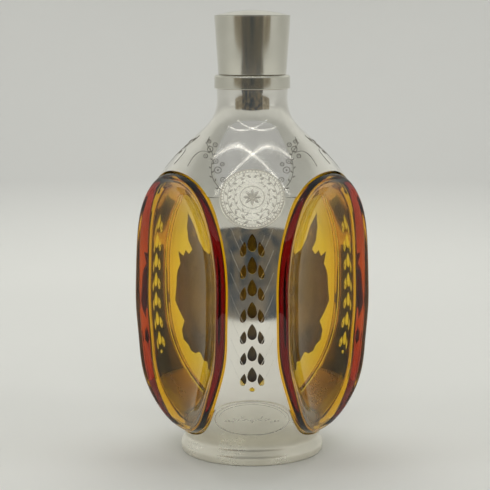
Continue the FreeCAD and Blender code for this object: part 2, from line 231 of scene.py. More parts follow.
def clad_sector(heights, layer, columns):
    """A closed slab between two layers over one sector. Walls stand only where windows are."""
    inner, outer = (clad_grid(heights, offset, columns) for offset in layer)
    rows = len(heights)
    verts = np.concatenate([outer.reshape(-1, 3), inner.reshape(-1, 3)])
    size = rows * columns
    faces = grid_faces(rows, columns)
    faces += [tuple(reversed(f)) for f in grid_faces(rows, columns, start=size)]
    for i in range(rows - 1):
        low, high = heights[i], heights[i + 1]
        if low >= WINDOW_TOP or high <= WINDOW_BOTTOM:
            continue
        for j in (0, columns - 1):
            a, b = i * columns + j, (i + 1) * columns + j
            faces.append((a, b, b + size, a + size))
    for i in (0, rows - 1):
        for j in range(columns - 1):
            a = i * columns + j
            faces.append((a, a + 1, a + 1 + size, a + size))
    return verts, faces


def merged(parts):
    """Several (verts, faces) as one."""
    verts, faces, start = [], [], 0
    for points, quads in parts:
        verts.append(np.asarray(points))
        faces.extend(tuple(start + k for k in quad) for quad in quads)
        start += len(points)
    return np.concatenate(verts), faces


def three_ways(part):
    return merged([(turn(part[0], 120 * k), part[1]) for k in range(3)])


def shoulder_shell(material):
    near_tip = WINDOW_TOP - (WINDOW_TOP - UPPER_SEAM) * np.linspace(1, 0, 30) ** 2
    above = np.linspace(WINDOW_TOP, SHOULDER_TOP, 90)[1:]
    sector = clad_sector(np.concatenate([near_tip, above]), SHOULDER_LAYER, 61)
    verts, faces = three_ways(sector)
    make_piece("shoulder_shell_spun", verts, faces, material, "root", "shoulder_shell")


def base_cup(material):
    above = WINDOW_BOTTOM + (LOWER_SEAM - WINDOW_BOTTOM) * np.linspace(0, 1, 34) ** 2
    sector = clad_sector(above, CUP_LAYER, 61)
    cup = three_ways(sector)
    keep = [f for f in cup[1] if not all(abs(cup[0][k][2] - WINDOW_BOTTOM) < 1e-6 for k in f)]
    heights = np.linspace(FOOT_ROUND, WINDOW_BOTTOM, 24)
    outside = [(skin(h, CUP_LAYER[1]), h) for h in heights]
    edge = outside[0][0]
    corner = [(edge - FOOT_ROUND * (1 - math.cos(a)), FOOT_ROUND * (1 - math.sin(a)))
              for a in np.linspace(1.4, 0.1, 6)]
    foot = [(skin(height, CUP_LAYER[0]), height) for height in (WINDOW_BOTTOM, FOOT_WALL_LEDGE)]
    foot += [(PLATE_HOLE_RADIUS, FOOT_WALL_TOP), (PLATE_HOLE_RADIUS, 0.0), (edge - 1.7, 0.0)]
    foot += corner + outside
    ring = lathe(foot, 180)
    ring = (turn(ring[0], FRONT), ring[1])
    verts, faces = merged([(cup[0], keep), ring])
    make_piece("base_cup_spun", verts, faces, material, "root", "base_cup")


def seed_outline(width, height, middle, side=0.0, lean=0.0, steps=28):
    """A drop with its point up, as (sideways, height) rows."""
    t = np.linspace(0, 2 * math.pi, steps, endpoint=False)
    x = np.sin(t) * np.abs(np.sin(t / 2)) ** 0.75 / 0.80 * width / 2
    z = np.cos(t) * height / 2
    a = math.radians(lean)
    across = side + x * math.cos(a) - z * math.sin(a)
    up = middle + x * math.sin(a) + z * math.cos(a)
    return np.stack([across, up], axis=1)


SEEDS, SEED_TOP, SEED_PITCH, SEED_SIZE = 7, 129.2, 11.87, (5.0, 9.4)
DROP_TOP, DROP_PITCH, DROP_SIZE, DROP_OFFSET, DROP_LEAN = 125.7, 11.77, (3.4, 7.9), 4.6, 10.0
HOLE_SHRINK = 0.16
DOT_HEIGHT, DOT_SIZE = 49.5, (2.9, 2.4)


def hole_outlines():
    outlines = []
    for row in range(SEEDS):
        less = HOLE_SHRINK * row
        outlines.append(seed_outline(SEED_SIZE[0], SEED_SIZE[1] - less, SEED_TOP - SEED_PITCH * row))
        for hand in (-1, 1):
            middle = DROP_TOP - DROP_PITCH * row
            tall = DROP_SIZE[1] - less
            outlines.append(seed_outline(DROP_SIZE[0], tall, middle, hand * DROP_OFFSET, hand * DROP_LEAN))
    t = np.linspace(0, 2 * math.pi, 20, endpoint=False)
    outlines.append(np.stack([DOT_SIZE[0] / 2 * np.cos(t), DOT_HEIGHT + DOT_SIZE[1] / 2 * np.sin(t)], axis=1))
    return outlines


def bars(outlines, near, far):
    """Bars along Y with (X, Z) outlines, as one (verts, faces)."""
    parts = []
    for outline in outlines:
        n = len(outline)
        verts = [(x, y, z) for y in (near, far) for x, z in outline]
        faces = [(k, (k + 1) % n, n + (k + 1) % n, n + k) for k in range(n)]
        faces += [tuple(range(n))[::-1], tuple(range(n, 2 * n))]
        parts.append((np.array(verts), faces))
    return merged(parts)


def boolean(verts, faces, cutter, operation):
    """The mesh that a boolean of two (verts, faces) leaves, in millimetres."""
    objects = []
    for name, part in (("kept", (verts, faces)), ("cutter", cutter)):
        mesh = bpy.data.meshes.new(name)
        mesh.from_pydata(np.asarray(part[0]).tolist(), [], part[1])
        work = bmesh.new()
        work.from_mesh(mesh)
        bmesh.ops.recalc_face_normals(work, faces=work.faces)
        work.to_mesh(mesh)
        work.free()
        objects.append(bpy.data.objects.new(name, mesh))
        bpy.context.scene.collection.objects.link(objects[-1])
    step = objects[0].modifiers.new("cut", "BOOLEAN")
    step.operation, step.object, step.solver = operation, objects[1], "EXACT"
    made = objects[0].evaluated_get(bpy.context.evaluated_depsgraph_get()).to_mesh()
    result = np.array([v.co[:] for v in made.vertices]), [tuple(p.vertices) for p in made.polygons]
    for thing in objects:
        data = thing.data
        bpy.data.objects.remove(thing)
        bpy.data.meshes.remove(data)
    return result


def ridge_strips(material):
    sector = clad_sector(np.linspace(LOWER_SEAM, UPPER_SEAM, 190), STRIP_LAYER, 57)
    verts, faces = boolean(sector[0], sector[1], bars(hole_outlines(), -90.0, -40.0), "DIFFERENCE")
    for side, azimuth in RIDGES.items():
        piece = make_piece("ridge_strip_" + side + "_pierced", verts, faces, material, "root",
                           "ridge_strip_" + side, azimuth=azimuth)
        true_normals(piece.data)


def true_normals(mesh):
    """Shades the faces that lie on the skin with the skin's own normal, whatever their shape."""
    normals = []
    for face in mesh.polygons:
        for index in face.vertices:
            spot = mesh.vertices[index].co
            radial, upward = skin_normal(spot.z / MM)
            flat = math.hypot(spot.x, spot.y)
            normal = (radial * spot.x / flat, radial * spot.y / flat, upward)
            facing = sum(a * b for a, b in zip(normal, face.normal))
            if facing > 0.8:
                normals.append(normal)
            elif facing < -0.8:
                normals.append(tuple(-a for a in normal))
            else:
                normals.append(tuple(face.normal))
    mesh.normals_split_custom_set(normals)


# ---- glass ---------------------------------------------------------------------------------------

GLASS_SECTOR_SPAN, HOLLOW_SECTOR_SPAN = (10.5, 168.0), (14.0, 166.0)
LIP_START, LIP_ROUND = 213.6, 1.2
RING_POINTS = {"side": 84, "tip": 44}
CORNER_ANGLE = 70.0


def soft_min(a, b, blend):
    share = np.clip(0.5 + 0.5 * (b - a) / blend, 0.0, 1.0)
    return b + (a - b) * share - blend * share * (1.0 - share)


def bowl_front(side, height, growth):
    """Distance along a dimple's axis of the pressed bowl, a barrel about an upright axis."""
    edge = window_half_width(np.clip(height, WINDOW_BOTTOM + RIM_WIDTH, WINDOW_TOP - RIM_WIDTH), RIM_WIDTH)
    front = np.sqrt((skin(height) + RIM_PROUD) ** 2 - edge ** 2)
    barrel = np.hypot(BOWL_AXIS_DISTANCE - front, edge) + growth
    return BOWL_AXIS_DISTANCE - np.sqrt(np.maximum(barrel ** 2 - side ** 2, 1.0))


def ring_params():
    """Angles round the window's outline, and the matching places on the sector's border."""
    side, tip = RING_POINTS["side"], RING_POINTS["tip"]
    corner = CORNER_ANGLE
    rising = np.linspace(-corner, corner, side, endpoint=False)
    falling = np.linspace(corner, -corner, side, endpoint=False)
    across = np.linspace(corner, 180 - corner, tip, endpoint=False)
    right = [(a, 60.0, 0.5 + 0.5 * a / corner) for a in rising]
    top = [(a, 60.0 * (90 - a) / (90 - corner), 1.0) for a in across]
    left = [(180 - a, -60.0, 0.5 + 0.5 * a / corner) for a in falling]
    bottom = [(180 + a, -60.0 * (90 - a) / (90 - corner), 0.0) for a in across]
    return np.array(right + top + left + bottom)


def glass_sector(skin_offset, growth, low, high, rings, outer_rings, rim):
    """One dimple and the glass round it, as rings of points about the dimple, in its own frame."""
    params = ring_params()
    angle = np.radians(params[:, 0])
    up = np.sin(angle)
    reach = np.where(up >= 0, WINDOW_TOP - WINDOW_CENTRE, WINDOW_CENTRE - WINDOW_BOTTOM)
    edge_z = WINDOW_CENTRE + reach * up
    edge_s = window_half_width(edge_z) * np.sign(np.cos(angle))
    edge_s[np.abs(np.cos(angle)) < 1e-9] = 0.0
    span = np.hypot(edge_s, edge_z - WINDOW_CENTRE)
    layers = []
    for share in rings:
        side, height = edge_s * share, WINDOW_CENTRE + (edge_z - WINDOW_CENTRE) * share
        depth = (1.0 - share) * span
        rise = np.clip((depth - 0.35) / 2.2, 0.0, 1.0)
        proud = skin_offset + (RIM_PROUD - skin_offset) * rise * rise * (3 - 2 * rise) * rim
        wall = np.sqrt(np.maximum(skin(height, 0.0) + proud, 1.0) ** 2 - side ** 2)
        bowl = bowl_front(side, height, growth)
        front = soft_min(wall, bowl, RIM_BLEND * np.clip(depth / 6.0, 0.02, 1.0))
        layers.append(np.stack([front, side, height], axis=1))
    last = layers[-1]
    start = np.degrees(np.arctan2(last[:, 1], last[:, 0]))
    for share in outer_rings:
        phi = np.radians(start + (params[:, 1] - start) * share)
        height = last[:, 2] + (low + (high - low) * params[:, 2] - last[:, 2]) * share
        first = np.hypot(last[:, 0], last[:, 1])
        radius = skin(height) + skin_offset
        radius = radius + (first - (skin(last[:, 2]) + skin_offset)) * (1 - share)
        layers.append(np.stack([radius * np.cos(phi), radius * np.sin(phi), height], axis=1))
    count = len(params)
    verts = np.concatenate([[[layers[0][:, 0].mean(), 0.0, WINDOW_CENTRE]]] + layers)
    faces = [(0, 1 + k, 1 + (k + 1) % count) for k in range(count)]
    faces += grid_faces(len(layers), count, start=1, closed=True)
    return verts, faces


def end_cap(outline):
    """Turns an outline above or below a sector, on the same columns as the sector's border."""
    tip = RING_POINTS["tip"]
    angle = np.radians(np.linspace(60, -60, tip, endpoint=False))
    angle = np.concatenate([angle + math.radians(a) for a in DIMPLES])
    verts = []
    for radius, height in outline:
        level = np.full(len(angle), height)
        verts.extend(np.stack([radius * np.cos(angle), radius * np.sin(angle), level], axis=1))
    ring = [k * tip + j for k in (0, 2, 1) for j in range(tip)]
    count = len(ring)
    faces = []
    for i in range(len(outline) - 1):
        for j in range(count):
            a, b = ring[j], ring[(j + 1) % count]
            low, high = i * count, (i + 1) * count
            faces.append((low + a, low + b, high + b, high + a))
    return np.array(verts), faces


def glass_bottle(material):
    rings = np.concatenate([np.linspace(0.06, 0.78, 26), np.linspace(0.79, 1.0, 46)])
    outer_rings = np.linspace(0, 1, 13)[1:]
    gap, wall = -GLASS_GAP, -(GLASS_GAP + GLASS_WALL)
    low, high = GLASS_SECTOR_SPAN
    floor_low, bore_high = HOLLOW_SECTOR_SPAN
    outer = glass_sector(gap, 0.0, low, high, rings, outer_rings, 1.0)
    inner = glass_sector(wall, GLASS_WALL, floor_low, bore_high, rings[1::2], outer_rings[1::2], 0.0)
    parts = [(turn(outer[0], a), outer[1]) for a in DIMPLES]
    parts += [(turn(inner[0], a), inner[1]) for a in DIMPLES]
    neck = smooth_curve([(skin(h) + gap, h) for h in (high, 172.0, 177.0, 182.0)]
                        + [(19.4, 191.0), (17.5, 196.5), (17.05, 200.0)]
                        + [(GLASS_NECK_RADIUS, z) for z in (203.0, 206.0, 210.0, LIP_START)], 60)
    bore = smooth_curve([(skin(h) + wall, h) for h in (bore_high, 170.0, 174.0)]
                        + [(18.0, 185.0), (13.0, 191.5)]
                        + [(GLASS_BORE_RADIUS, z) for z in (197.0, LIP_START)], 60)
    mouth = [(GLASS_NECK_RADIUS, GLASS_LIP), (GLASS_BORE_RADIUS, GLASS_LIP)]
    lip = rounded([tuple(neck[-1])] + mouth + [tuple(bore[-1])], LIP_ROUND)
    top = [tuple(p) for p in neck] + [tuple(p) for p in lip[1:-1]] + [tuple(p) for p in bore[::-1]]
    foot = rounded([(skin(low) + gap, low), (36.6, 8.5), (36.8, 3.2), (0.0, 3.2)], 2.5)
    floor = rounded([(skin(floor_low) + wall, floor_low), (31.0, 10.2), (0.0, 10.0)], 4.0)
    parts.append(end_cap(top))
    parts.append(end_cap([tuple(p) for p in foot]))
    parts.append(end_cap([tuple(p) for p in floor]))
    verts, faces = merged(parts)
    make_piece("glass_bottle_blown", verts, faces, material, "root", "glass_bottle",
               sharp=60.0)


# ---- collar and stopper --------------------------------------------------------------------------

COLLAR_RADIUS, COLLAR_TOP, COLLAR_BORE = 21.3, 214.9, 17.3
CAP_BOTTOM, CAP_RIM, CAP_TOP = 215.2, 247.6, 250.8
CAP_BOTTOM_RADIUS, CAP_RIM_RADIUS, CAP_SHEET = 19.1, 21.3, 1.2


def closed_lathe(name, corners, radius, material, body, node, sharp=35.0):
    corners = [np.asarray(c, float) for c in corners]
    middle = (corners[0] + corners[-1]) / 2
    chain = rounded([middle] + corners + [middle], radius)
    verts, faces = lathe(chain)
    return make_piece(name, verts, faces, material, body, node, sharp)


def neck_collar(material):
    corners = [(COLLAR_BORE, NECK_TOP), (COLLAR_RADIUS, NECK_TOP), (COLLAR_RADIUS, COLLAR_TOP - 0.9),
               (COLLAR_RADIUS - 0.9, COLLAR_TOP), (COLLAR_BORE, COLLAR_TOP)]
    closed_lathe("neck_collar_turned", corners, 0.35, material, "root", "neck_collar")


def cap_wall(material):
    corners = [(CAP_BOTTOM_RADIUS - CAP_SHEET, CAP_BOTTOM), (CAP_BOTTOM_RADIUS, CAP_BOTTOM),
               (CAP_RIM_RADIUS, CAP_RIM), (CAP_RIM_RADIUS - CAP_SHEET, CAP_RIM)]
    closed_lathe("cap_wall_spun", corners, 0.3, material, "stopper", "cap_wall")


def cap_top(material):
    rise = CAP_TOP - CAP_RIM
    dome = (CAP_RIM_RADIUS ** 2 + rise ** 2) / (2 * rise)
    rim = CAP_RIM_RADIUS - 0.1
    middle = CAP_TOP - dome
    outside = [(r, middle + math.sqrt(dome ** 2 - r * r)) for r in np.linspace(0.0, rim - 0.5, 24)]
    edge = [(rim, CAP_RIM + 0.3), (rim, CAP_RIM + 0.02), (rim - 1.6, CAP_RIM + 0.02)]
    small = dome - CAP_SHEET
    inside = [(r, middle + math.sqrt(small ** 2 - r * r)) for r in np.linspace(rim - 3.0, 0.0, 10)]
    verts, faces = lathe(outside + edge + inside)
    make_piece("cap_top_domed", verts, faces, material, "stopper", "cap_top")


# ---- engraving and relief ------------------------------------------------------------------------

skin_length = np.concatenate([[0.0], np.cumsum(np.hypot(*np.diff(skin_rows, axis=0).T))])


def skin_about(middle):
    """The skin round a height, as a function that places flat points about the front ridge.

    The flat points are (sideways, up the skin) from that height, and the offset is outwards.
    """
    start = np.interp(middle, skin_rows[:, 1], skin_length)

    def place(flat, offset):
        flat = np.asarray(flat, float)
        along = start + flat[:, 1]
        radius = np.interp(along, skin_length, skin_rows[:, 0])
        height = np.interp(along, skin_length, skin_rows[:, 1])
        radial = np.interp(along, skin_length, skin_out[:, 0])
        upward = np.interp(along, skin_length, skin_out[:, 1])
        angle = math.radians(FRONT) + flat[:, 0] / radius
        wide = radius + offset * radial
        return np.stack([wide * np.cos(angle), wide * np.sin(angle), height + offset * upward], axis=1)

    return place


MEDALLION_SKIN, PLAQUE_SKIN = skin_about(UPPER_SEAM), skin_about(PLAQUE_HEIGHT)
SCROLL_SKIN, STRIP_SKIN = skin_about(SCROLL_HEIGHT), skin_about(WINDOW_CENTRE)
CREST_FACE = 1.6


def crest_face(flat, offset):
    """Places flat (sideways, up) points on the outer face of the ornament in the rear bowl."""
    flat = np.asarray(flat, float)
    height = WINDOW_CENTRE + flat[:, 1]
    front = bowl_front(flat[:, 0], height, -CREST_FACE) + offset
    return np.stack([flat[:, 0], -front, height], axis=1)


def wire(flat, surface, offset, thickness, closed=False, sides=6):
    """A round line that lies on a surface."""
    flat = np.asarray(flat, float)
    centre = surface(flat, offset)
    out = surface(flat, offset + 1.0) - centre
    if closed:
        run = np.roll(centre, -1, axis=0) - np.roll(centre, 1, axis=0)
    else:
        run = np.gradient(centre, axis=0)
    run /= np.linalg.norm(run, axis=1)[:, None]
    across = np.cross(run, out)
    across /= np.linalg.norm(across, axis=1)[:, None]
    verts = []
    for k in range(sides):
        a = 2 * math.pi * k / sides
        verts.append(centre + thickness * (math.cos(a) * across + math.sin(a) * out))
    count = len(flat)
    verts = np.stack(verts, axis=1).reshape(-1, 3)
    faces = grid_faces(count, sides, closed=True)
    if closed:
        last = (count - 1) * sides
        faces += [(last + k, last + (k + 1) % sides, (k + 1) % sides, k) for k in range(sides)]
    else:
        faces += [tuple(range(sides))[::-1], tuple(range((count - 1) * sides, count * sides))]
    return verts, faces


def pad(outline, crown, surface, base, rise):
    """A low relief: an outline on a surface, raised to a crown line or point, closed underneath."""
    outline = np.asarray(outline, float)
    count = len(outline)
    inner = crown + (outline - crown) * 0.55
    rows = [surface(outline, base), surface(inner, base + 0.8 * rise)]
    top = surface(np.array([crown]), base + rise)
    verts = np.concatenate(rows + [top])
    faces = grid_faces(2, count, closed=True)
    faces += [(count + k, count + (k + 1) % count, 2 * count) for k in range(count)]
    faces.append(tuple(range(count))[::-1])
    return verts, faces


def circle(radius, count=72, middle=(0.0, 0.0)):
    t = np.linspace(0, 2 * math.pi, count, endpoint=False)
    return np.stack([middle[0] + radius * np.cos(t), middle[1] + radius * np.sin(t)], axis=1)


def leaf_outline(root, heading, length, width, count=12):
    """A pointed leaf from its root along a heading in degrees, with its crown."""
    t = np.linspace(0, 1, count)
    half = width / 2 * np.sin(math.pi * t) ** 0.8 * (1.15 - 0.5 * t)
    one, other = (np.stack([t * length, hand * half], axis=1) for hand in (1, -1))
    flat = np.concatenate([one, other[-2:0:-1]])
    a = math.radians(heading)
    spin = np.array([[math.cos(a), math.sin(a)], [-math.sin(a), math.cos(a)]])
    crown = np.array([0.42 * length, 0.0]) @ spin + root
    return flat @ spin + root, crown


def mirrored(flat):
    return np.asarray(flat) * np.array([-1.0, 1.0])


def sprig(points, leaves, length, width, surface, base, rise, stem):
    """A stem with leaves set alternately along it, and its mirror image."""
    knots = np.linspace(0, 1, len(points))
    fine = np.linspace(0, 1, 40)
    points = np.asarray(points, float)
    path = np.stack([natural_spline(knots, points[:, i], fine) for i in (0, 1)], axis=1)
    parts = [wire(path, surface, base, stem), wire(mirrored(path), surface, base, stem)]
    for k in range(leaves):
        at = int((k + 0.6) / leaves * 38)
        run = path[at + 1] - path[at]
        heading = math.degrees(math.atan2(run[1], run[0])) + (42 if k % 2 else -42)
        size = length * (1.0 - 0.35 * k / leaves)
        outline, crown = leaf_outline(path[at], heading, size, width)
        parts.append(pad(outline, crown, surface, base - stem, rise))
        parts.append(pad(mirrored(outline)[::-1], mirrored(crown), surface, base - stem, rise))
    return parts


def medallion_relief():
    """A wreath round a rosette, inside beaded rings: an ornament with no lettering and no arms."""
    top = 1.05
    rings = ((16.9, 0.42), (15.2, 0.16), (6.4, 0.22))
    parts = [wire(circle(r, 96), MEDALLION_SKIN, top, w, closed=True) for r, w in rings]
    for k in range(60):
        spot = circle(16.05, 60)[k]
        parts.append(pad(circle(0.42, 8, spot), spot, MEDALLION_SKIN, top - 0.1, 0.34))
    for radius, petals, length, width in ((1.0, 8, 4.3, 2.0), (0.4, 8, 2.4, 1.1)):
        for k in range(petals):
            heading = 360.0 / petals * (k + (0.5 if radius < 1 else 0.0))
            a = math.radians(heading)
            root = np.array([radius * math.cos(a), radius * math.sin(a)])
            outline, crown = leaf_outline(root, heading, length, width)
            parts.append(pad(outline, crown, MEDALLION_SKIN, top - 0.1, 0.5 if radius < 1 else 0.38))
    parts.append(pad(circle(1.0, 14), np.zeros(2), MEDALLION_SKIN, top, 0.6))
    wreath = [(0.4, -13.2), (7.0, -11.4), (11.6, -6.5), (13.0, 0.0), (11.2, 6.8), (6.2, 11.6), (1.4, 13.3)]
    parts += sprig(wreath, 16, 4.6, 1.7, MEDALLION_SKIN, top, 0.42, 0.2)
    inner = [(0.4, -9.4), (5.4, -8.0), (8.6, -4.0), (9.2, 1.0), (7.6, 5.8), (3.6, 9.0)]
    parts += sprig(inner, 9, 2.8, 1.1, MEDALLION_SKIN, top, 0.34, 0.14)
    return merged(parts)


def plaque_relief():
    """Thin border lines and a leafy flourish, with no lettering."""
    top = 0.75
    parts = []
    border = [(1.0, 0.30, 0.0, 360.0), (0.9, 0.16, 8.0, 172.0)]
    for share, width, start, end in border:
        t = np.radians(np.linspace(start, end, 90, endpoint=end - start < 360))
        flat = np.stack([20.4 * share * np.cos(t), 12.7 * share * np.sin(t)], axis=1)
        parts.append(wire(flat, PLAQUE_SKIN, top, width, closed=end - start == 360.0))
    flourish = [(1.8, 0.2), (5.0, 1.5), (8.5, 0.6), (11.5, -1.2), (14.8, -0.2)]
    parts += sprig(flourish, 7, 3.2, 1.2, PLAQUE_SKIN, top, 0.34, 0.16)
    outline = np.array([(0.0, 2.2), (-1.5, 0.0), (0.0, -2.2), (1.5, 0.0)])
    parts.append(pad(outline, np.zeros(2), PLAQUE_SKIN, top - 0.1, 0.5))
    return merged(parts)


def shoulder_scrolls():
    """Scrolls, rings and stems that climb the shoulder between the medallion and each window."""
    parts = []
    top = 0.40
    rings = [(15.8, 5.5, 1.4), (18.9, 11.5, 2.0), (20.4, 17.3, 1.5), (24.6, 25.3, 1.9), (21.4, 28.6, 1.4),
             (27.2, 20.4, 1.3), (16.4, 15.4, 1.1), (25.8, 30.6, 1.1)]
    stem = [(16.8, -1.0), (21.2, 5.0), (22.8, 11.0), (22.6, 17.0), (22.8, 22.5), (27.2, 28.4), (26.4, 34.0)]
    parts += sprig(stem, 12, 3.4, 1.3, SCROLL_SKIN, top, 0.34, 0.2)
    knots = np.linspace(0, 1, 5)
    sweep = np.array([(24.4, 22.6), (28.6, 23.6), (33.0, 22.4), (37.0, 18.4), (40.0, 12.6)])
    line = np.stack([natural_spline(knots, sweep[:, i], np.linspace(0, 1, 40)) for i in (0, 1)], axis=1)
    parts += [wire(line, SCROLL_SKIN, top, 0.2), wire(mirrored(line), SCROLL_SKIN, top, 0.2)]
    for side, along, size in rings:
        for hand in (-1, 1):
            spot = (hand * side, along)
            parts.append(wire(circle(size, 24, spot), SCROLL_SKIN, top, 0.24, closed=True))
            parts.append(pad(circle(0.36 * size, 10, spot), np.array(spot), SCROLL_SKIN, top - 0.1, 0.35))
    return merged(parts)


CHEVRONS, CHEVRON_PITCH, CHEVRON_SLOPE, CHEVRON_SIDES = 7, 11.8, 2.1, (4.2, 11.5)


def chevron_lines():
    """Fine lines that run down and inwards to the drops, and a short pair over the first seed."""
    parts = []
    inner, outer = CHEVRON_SIDES
    for row in range(CHEVRONS + 1):
        reach = np.linspace(inner, outer, 14) if row else np.linspace(4.0, 6.6, 8)
        foot = 136.9 - CHEVRON_PITCH * row - CHEVRON_SLOPE * outer
        bow = 0.9 * np.sin(math.pi * (reach - reach[0]) / (reach[-1] - reach[0]))
        height = foot + CHEVRON_SLOPE * reach - bow + (6.2 if row == 0 else CHEVRON_PITCH)
        start = np.interp(WINDOW_CENTRE, skin_rows[:, 1], skin_length)
        along = np.interp(height, skin_rows[:, 1], skin_length) - start
        for hand in (-1, 1):
            parts.append(wire(np.stack([hand * reach, along], axis=1), STRIP_SKIN, -0.08, 0.2))
    return merged(parts)


def crest_relief():
    """A rosette in a beaded ring, with a leafy stem up each side, on the rear ornament."""
    sunk = -0.2
    parts = [wire(circle(r, 72), crest_face, 0.0, w, closed=True) for r, w in ((16.0, 0.6), (12.2, 0.3))]
    for spot in circle(14.1, 36):
        parts.append(pad(circle(0.8, 8, spot), spot, crest_face, sunk, 0.8))
    for k in range(16):
        heading = 22.5 * k
        a = math.radians(heading)
        root = 2.0 * np.array([math.cos(a), math.sin(a)])
        length, width = (9.0, 3.6) if k % 2 == 0 else (7.0, 2.2)
        outline, crown = leaf_outline(root, heading, length, width)
        parts.append(pad(outline, crown, crest_face, sunk, 1.1 if k % 2 == 0 else 0.8))
    parts.append(pad(circle(2.4, 18), np.zeros(2), crest_face, sunk, 1.5))
    stem = [(1.0, -57.0), (6.5, -49.0), (14.0, -41.0), (22.5, -32.0), (27.5, -18.0), (28.0, -3.0),
            (24.0, 12.0)]
    parts += sprig(stem, 18, 7.5, 3.0, crest_face, 0.0, 0.9, 0.4)
    inner = [(1.0, -24.0), (7.0, -24.5), (14.0, -20.0), (19.0, -12.0), (20.6, -2.0)]
    parts += sprig(inner, 8, 4.6, 1.9, crest_face, 0.0, 0.7, 0.3)
    return merged(parts)


def ornaments(scrolls, relief, lines):
    for name, part, slot, material in (("medallion", medallion_relief(), "pewter_engraved", relief),
                                       ("plaque", plaque_relief(), "pewter_engraved", relief),
                                       ("shoulder_scroll", shoulder_scrolls(), "pewter_plain", scrolls),
                                       ("chevron_lines", chevron_lines(), "pewter_pierced", lines)):
        for side, azimuth in RIDGES.items():
            verts, faces = part
            make_piece(name + "_" + side + "_relief", verts, faces, material, "root", azimuth=azimuth)
    verts, faces = crest_relief()
    make_piece("crest_leaves_relief", verts, faces, relief, "root", azimuth=DIMPLES[0])


# ---- materials -----------------------------------------------------------------------------------

def new_material(name):
    material = bpy.data.materials.new(name)
    material.use_nodes = True
    return material, material.node_tree, material.node_tree.nodes["Principled BSDF"]


def node(tree, kind, **values):
    """A shader node with its settings; keys that name inputs set those inputs."""
    made = tree.nodes.new(kind)
    for key, value in values.items():
        if key in made.inputs:
            made.inputs[key].default_value = value
        else:
            setattr(made, key, value)
    return made


def calc(tree, operation, *terms):
    """A math node on sockets or numbers; returns its output socket."""
    made = tree.nodes.new("ShaderNodeMath")
    made.operation = operation
    for place, term in enumerate(terms):
        if isinstance(term, (int, float)):
            made.inputs[place].default_value = term
        else:
            tree.links.new(term, made.inputs[place])
    return made.outputs[0]


def noise(tree, coords, scale, detail=3.0, roughness=0.5, stretch=None):
    if stretch:
        mapping = node(tree, "ShaderNodeMapping")
        mapping.inputs["Scale"].default_value = stretch
        tree.links.new(coords, mapping.inputs["Vector"])
        coords = mapping.outputs[0]
    made = node(tree, "ShaderNodeTexNoise", Scale=scale, Detail=detail, Roughness=roughness)
    tree.links.new(coords, made.inputs["Vector"])
    return made.outputs[0]


def ramp(tree, value, low, high, out_low, out_high):
    made = node(tree, "ShaderNodeMapRange")
    made.inputs["From Min"].default_value = low
    made.inputs["From Max"].default_value = high
    made.inputs["To Min"].default_value = out_low
    made.inputs["To Max"].default_value = out_high
    tree.links.new(value, made.inputs["Value"])
    return made.outputs[0]


def mix_colour(tree, factor, first, second):
    made = node(tree, "ShaderNodeMix", data_type="RGBA")
    tree.links.new(factor, made.inputs["Factor"])
    colours = [s for s in made.inputs if s.type == "RGBA"]
    for socket, value in zip(colours, (first, second)):
        if isinstance(value, tuple):
            socket.default_value = (*value, 1.0)
        else:
            tree.links.new(value, socket)
    return [s for s in made.outputs if s.type == "RGBA"][0]


def bump(tree, height, strength, distance, before=None):
    made = node(tree, "ShaderNodeBump", Strength=strength, Distance=distance)
    tree.links.new(height, made.inputs["Height"])
    if before:
        tree.links.new(before, made.inputs["Normal"])
    return made.outputs[0]


def pewter(name, bright, dull, smooth, rough, etching=0.0, metal=1.0):
    """Hand-polished pewter: faint waves from spinning, hair scratches, and dull patches.

    Etching is the depth in metres of a dense engraved ground of small curls.
    """
    material, tree, shader = new_material(name)
    coords = node(tree, "ShaderNodeTexCoord").outputs["Object"]
    patch = noise(tree, coords, 45.0, 4.0)
    fine = noise(tree, coords, 900.0, 3.0)
    scratch = noise(tree, coords, 260.0, 2.0, stretch=(1.0, 1.0, 14.0))
    tone = ramp(tree, patch, 0.35, 0.7, 0.0, 1.0)
    colour = mix_colour(tree, tone, bright, dull)
    rough_patch = ramp(tree, patch, 0.3, 0.75, smooth, rough)
    rough_fine = ramp(tree, fine, 0.4, 0.7, 0.0, 0.03)
    roughness = calc(tree, "ADD", rough_patch, rough_fine)
    wave = noise(tree, coords, 28.0, 1.0)
    normal = bump(tree, wave, 0.25, 0.0006)
    normal = bump(tree, scratch, 0.12, 0.00002, normal)
    if etching:
        curl = noise(tree, coords, 420.0, 2.0, 0.6)
        cut = calc(tree, "PINGPONG", calc(tree, "MULTIPLY", curl, 9.0), 0.5)
        line = ramp(tree, cut, 0.08, 0.24, 0.0, 1.0)
        normal = bump(tree, line, 1.0, etching, normal)
        colour = mix_colour(tree, line, tuple(0.62 * c for c in dull), colour)
    tree.links.new(colour, shader.inputs["Base Color"])
    tree.links.new(roughness, shader.inputs["Roughness"])
    tree.links.new(normal, shader.inputs["Normal"])
    shader.inputs["Metallic"].default_value = metal
    return material


def amber_glass():
    material, tree, shader = new_material("amber_glass")
    coords = node(tree, "ShaderNodeTexCoord").outputs["Object"]
    flow = noise(tree, coords, 22.0, 2.0, stretch=(1.0, 1.0, 0.4))
    normal = bump(tree, flow, 0.18, 0.0008)
    tree.links.new(normal, shader.inputs["Normal"])
    shader.inputs["Base Color"].default_value = (1.0, 1.0, 1.0, 1.0)
    shader.inputs["Roughness"].default_value = 0.0
    shader.inputs["IOR"].default_value = 1.5
    shader.inputs["Transmission Weight"].default_value = 1.0
    absorb = node(tree, "ShaderNodeVolumeAbsorption", Density=540.0)
    absorb.inputs["Color"].default_value = (0.972, 0.880, 0.012, 1.0)
    tree.links.new(absorb.outputs[0], tree.nodes["Material Output"].inputs["Volume"])
    return material


